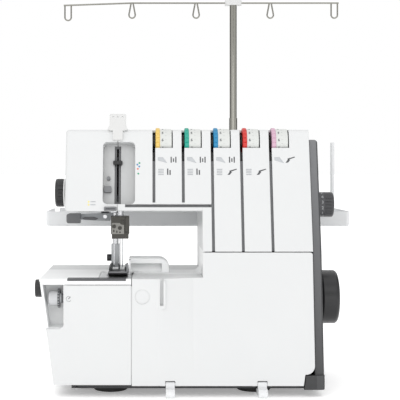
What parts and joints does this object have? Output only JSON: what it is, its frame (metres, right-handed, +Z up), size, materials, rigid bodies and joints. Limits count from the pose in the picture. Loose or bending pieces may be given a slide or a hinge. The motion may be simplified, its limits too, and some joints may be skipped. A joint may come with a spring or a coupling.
{
  "type": "serger overlock machine",
  "caption": "Home overlock sewing machine with tension dials, thread stand, presser foot, knives and loopers behind opening front covers.",
  "frame": {"origin": "centre of the bounding box on the table", "axes": "+Z up, front with the dials towards -Y, handwheel towards +X"},
  "size_m": [0.429, 0.34, 0.527],
  "materials": {
    "white_plastic": "satin white moulding",
    "pale_grey_plastic": "fine matt pale grey",
    "dark_plastic": "matt charcoal",
    "gloss_dark_plastic": "glossy charcoal",
    "rubber": "matt black",
    "steel": "ground steel",
    "gunmetal": "dark satin steel",
    "chrome": "bright plated",
    "grey_plastic": "matt mid grey",
    "cast_frame": "as cast",
    "bronze": "plain",
    "motor_can": "satin enamel",
    "bay_paint": "satin pale enamel",
    "lens": "clear, frosted inside",
    "dial_yellow": "satin",
    "dial_green": "satin",
    "dial_blue": "satin",
    "dial_red": "satin",
    "dial_lilac": "satin"
  },
  "bodies": {
    "machine": {"base_plate": "dark_plastic", "rubber_feet": "rubber", "hinge_legs": "pale_grey_plastic", "rear_cover": "white_plastic", "tension_panel": "white_plastic", "face_cover": "white_plastic", "lamp_lens": "lens", "bed_cover": "white_plastic", "fabric_guard": "white_plastic", "side_panel": "grey_plastic", "hinge_pins": "steel", "main_frame": "cast_frame", "shaft_bushes": "bronze", "motor": "motor_can", "drive_belt": "rubber", "needle_plate": "steel", "lower_knife": "steel", "looper_pins": "steel", "bay_plate": "bay_paint", "thread_hooks": "steel", "take_up_guide": "dark_plastic", "top_thread_guide": "pale_grey_plastic", "tension_discs": "steel", "power_inlet": "dark_plastic", "spool_tray": "pale_grey_plastic", "spool_pins": "pale_grey_plastic", "mast_lower_tube": "chrome"},
    "door": {"looper_door": "white_plastic"},
    "cover": {"front_cover": "white_plastic"},
    "wheel": {"main_shaft": "steel", "shaft_pulley": "dark_plastic", "handwheel": "gloss_dark_plastic"},
    "motor_rotor": {"motor_pulley": "dark_plastic"},
    "needle_group": {"needle_bar": "steel", "needle_clamp": "steel", "needles": "steel"},
    "take_up": {"take_up_lever": "dark_plastic"},
    "looper_low": {"lower_looper": "steel"},
    "looper_high": {"upper_looper": "steel"},
    "looper_chain": {"chain_looper": "steel"},
    "knife": {"upper_knife": "steel"},
    "feed": {"feed_dogs": "steel"},
    "lifter": {"lifter_lever": "dark_plastic"},
    "presser": {"presser_bar": "steel", "presser_shank": "steel", "foot_release": "dark_plastic"},
    "foot": {"presser_foot": "gunmetal"},
    "dial_a": {"tension_dial_1": "dial_yellow"},
    "dial_b": {"tension_dial_2": "dial_green"},
    "dial_c": {"tension_dial_3": "dial_blue"},
    "dial_d": {"tension_dial_4": "dial_red"},
    "dial_e": {"tension_dial_5": "dial_lilac"},
    "pressure_knob": {"pressure_dial": "gloss_dark_plastic"},
    "stitch_knob": {"stitch_dial": "gloss_dark_plastic"},
    "width_setting": {"width_knob": "gloss_dark_plastic"},
    "side_setting": {"side_knob": "gloss_dark_plastic"},
    "mast": {"mast_upper_tube": "chrome"},
    "guide": {"mast_cap": "pale_grey_plastic", "thread_guide_bar": "chrome"},
    "rocker": {"power_switch": "dark_plastic"}
  },
  "joints": [
    {"name": "door_swing", "type": "hinge", "parent": "machine", "child": "door", "pos_m": [-0.13, -0.1525, 0.0185], "axis": [1, 0, 0], "range_deg": [0, 85]},
    {"name": "cover_swing", "type": "hinge", "parent": "machine", "child": "cover", "pos_m": [0.02, -0.1552, 0.0153], "axis": [1, 0, 0], "range_deg": [0, 85]},
    {"name": "handwheel_spin", "type": "hinge", "parent": "machine", "child": "wheel", "pos_m": [0.04, -0.06, 0.112], "axis": [1, 0, 0], "continuous": true},
    {"name": "motor_spin", "type": "hinge", "parent": "machine", "child": "motor_rotor", "pos_m": [0.08, -0.002, 0.062], "axis": [1, 0, 0], "continuous": true},
    {"name": "needle_slide", "type": "slide", "parent": "machine", "child": "needle_group", "axis": [0, 0, -1], "range_m": [0, 0.026]},
    {"name": "take_up_slide", "type": "slide", "parent": "machine", "child": "take_up", "axis": [0, -0.2538, -0.9673], "range_m": [0, 0.036]},
    {"name": "lower_looper_rock", "type": "hinge", "parent": "machine", "child": "looper_low", "pos_m": [-0.122, -0.093, 0.062], "axis": [0, -1, 0], "range_deg": [0, 12]},
    {"name": "upper_looper_rock", "type": "hinge", "parent": "machine", "child": "looper_high", "pos_m": [-0.092, -0.087, 0.07], "axis": [0, 1, 0], "range_deg": [0, 12]},
    {"name": "chain_looper_rock", "type": "hinge", "parent": "machine", "child": "looper_chain", "pos_m": [-0.106, -0.073, 0.044], "axis": [0, 1, 0], "range_deg": [0, 8]},
    {"name": "knife_slide", "type": "slide", "parent": "machine", "child": "knife", "axis": [0, 0, -1], "range_m": [0, 0.008]},
    {"name": "feed_slide", "type": "slide", "parent": "machine", "child": "feed", "axis": [0, 1, 0], "range_m": [0, 0.0025]},
    {"name": "lifter_swing", "type": "hinge", "parent": "machine", "child": "lifter", "pos_m": [-0.127, -0.044, 0.217], "axis": [0, -1, 0], "range_deg": [0, 18]},
    {"name": "presser_slide", "type": "slide", "parent": "machine", "child": "presser", "axis": [0, 0, 1], "range_m": [0, 0.006]},
    {"name": "foot_tilt", "type": "hinge", "parent": "presser", "child": "foot", "pos_m": [-0.113, -0.054, 0.1536], "axis": [-1, 0, 0], "range_deg": [0, 6]},
    {"name": "tension_1_turn", "type": "hinge", "parent": "machine", "child": "dial_a", "pos_m": [-0.0505, -0.08259, 0.3145], "axis": [1, 0, 0], "range_deg": [-150, 150]},
    {"name": "tension_2_turn", "type": "hinge", "parent": "machine", "child": "dial_b", "pos_m": [-0.0132, -0.08259, 0.3145], "axis": [1, 0, 0], "range_deg": [-150, 150]},
    {"name": "tension_3_turn", "type": "hinge", "parent": "machine", "child": "dial_c", "pos_m": [0.0241, -0.08259, 0.3145], "axis": [1, 0, 0], "range_deg": [-150, 150]},
    {"name": "tension_4_turn", "type": "hinge", "parent": "machine", "child": "dial_d", "pos_m": [0.0614, -0.08259, 0.3145], "axis": [1, 0, 0], "range_deg": [-150, 150]},
    {"name": "tension_5_turn", "type": "hinge", "parent": "machine", "child": "dial_e", "pos_m": [0.0987, -0.08259, 0.3145], "axis": [1, 0, 0], "range_deg": [-150, 150]},
    {"name": "pressure_turn", "type": "hinge", "parent": "machine", "child": "pressure_knob", "pos_m": [-0.18, -0.062, 0.249], "axis": [1, 0, 0], "range_deg": [-135, 135]},
    {"name": "stitch_turn", "type": "hinge", "parent": "machine", "child": "stitch_knob", "pos_m": [0.158, -0.06, 0.2334], "axis": [1, 0, 0], "range_deg": [-135, 135]},
    {"name": "width_turn", "type": "hinge", "parent": "machine", "child": "width_setting", "pos_m": [-0.19, -0.141, 0.1198], "axis": [1, 0, 0], "range_deg": [-150, 150]},
    {"name": "side_knob_turn", "type": "hinge", "parent": "machine", "child": "side_setting", "pos_m": [-0.208, -0.1, 0.1275], "axis": [1, 0, 0], "range_deg": [-90, 90]},
    {"name": "mast_slide", "type": "slide", "parent": "machine", "child": "mast", "axis": [0, 0, -1], "range_m": [0, 0.09]},
    {"name": "guide_swivel", "type": "hinge", "parent": "mast", "child": "guide", "pos_m": [0.05425, 0.1, 0.512], "axis": [0, 0, 1], "range_deg": [-90, 90]},
    {"name": "switch_rock", "type": "hinge", "parent": "machine", "child": "rocker", "pos_m": [0.1435, 0.012, 0.084], "axis": [0, 1, 0], "range_deg": [0, 9]}
  ],
  "couplings": [
    {"joint": "motor_spin", "follows": "handwheel_spin", "ratio": 3.5556},
    {"joint": "take_up_slide", "follows": "needle_slide", "ratio": 1.3846},
    {"joint": "lower_looper_rock", "follows": "needle_slide", "rad_per_m": 8.05},
    {"joint": "upper_looper_rock", "follows": "needle_slide", "rad_per_m": 8.05},
    {"joint": "chain_looper_rock", "follows": "needle_slide", "rad_per_m": 5.36},
    {"joint": "knife_slide", "follows": "needle_slide", "ratio": 0.3076},
    {"joint": "feed_slide", "follows": "needle_slide", "ratio": 0.096},
    {"joint": "presser_slide", "follows": "lifter_swing", "m_per_rad": 0.01909}
  ]
}
